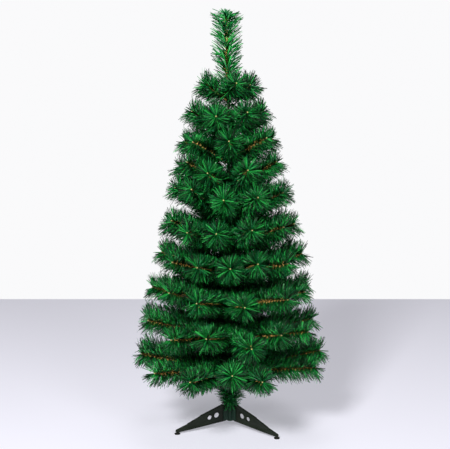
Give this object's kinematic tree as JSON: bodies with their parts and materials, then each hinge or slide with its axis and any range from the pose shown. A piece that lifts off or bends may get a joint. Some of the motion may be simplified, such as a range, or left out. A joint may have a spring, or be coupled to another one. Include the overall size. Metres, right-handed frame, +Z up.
{
  "type": "tabletop artificial christmas tree",
  "caption": "Slim cone of bottle-brush needle tips in tiers on a thin trunk pole, standing in a low three-legged plastic stand.",
  "frame": {"origin": "on the floor under the middle of the stand, which is also the middle of the crown's box to within a few millimetres", "axes": "+Z up along the trunk, -Y towards the front, +X to the right seen from the front"},
  "size_m": [0.4199, 0.422, 0.9],
  "materials": {
    "needles": "soft PVC film needles with a slight sheen on brown twisted wire",
    "trunk": "wire and film wound round a thin pole, matt",
    "leg_plastic": "dark olive moulded plastic, satin, lightly scuffed",
    "hub_plastic": "dark teal green moulded plastic, satin",
    "pad_rubber": "black rubbery plastic, matt"
  },
  "bodies": {
    "root": {"bough_01_1": "needles", "bough_01_2": "needles", "bough_01_3": "needles", "bough_02_1": "needles", "bough_02_2": "needles", "bough_02_3": "needles", "bough_02_4": "needles", "bough_03_1": "needles", "bough_03_2": "needles", "bough_03_3": "needles", "bough_03_4": "needles", "bough_04_1": "needles", "bough_04_2": "needles", "bough_04_3": "needles", "bough_04_4": "needles", "bough_05_1": "needles", "bough_05_2": "needles", "bough_05_3": "needles", "bough_05_4": "needles", "bough_05_5": "needles", "bough_06_1": "needles", "bough_06_2": "needles", "bough_06_3": "needles", "bough_06_4": "needles", "bough_06_5": "needles", "bough_06_6": "needles", "bough_07_1": "needles", "bough_07_2": "needles", "bough_07_3": "needles", "bough_07_4": "needles", "bough_07_5": "needles", "bough_07_6": "needles", "bough_08_1": "needles", "bough_08_2": "needles", "bough_08_3": "needles", "bough_08_4": "needles", "bough_08_5": "needles", "bough_08_6": "needles", "bough_09_1": "needles", "bough_09_2": "needles", "bough_09_3": "needles", "bough_09_4": "needles", "bough_09_5": "needles", "bough_09_6": "needles", "bough_10_1": "needles", "bough_10_2": "needles", "bough_10_3": "needles", "bough_10_4": "needles", "bough_10_5": "needles", "bough_10_6": "needles", "foot_back": "pad_rubber", "foot_left": "pad_rubber", "foot_right": "pad_rubber", "hub": "hub_plastic", "leader": "needles", "leg_back": "leg_plastic", "leg_left": "leg_plastic", "leg_right": "leg_plastic", "trunk": "trunk", "trunk_wrap": "needles"}
  },
  "joints": []
}
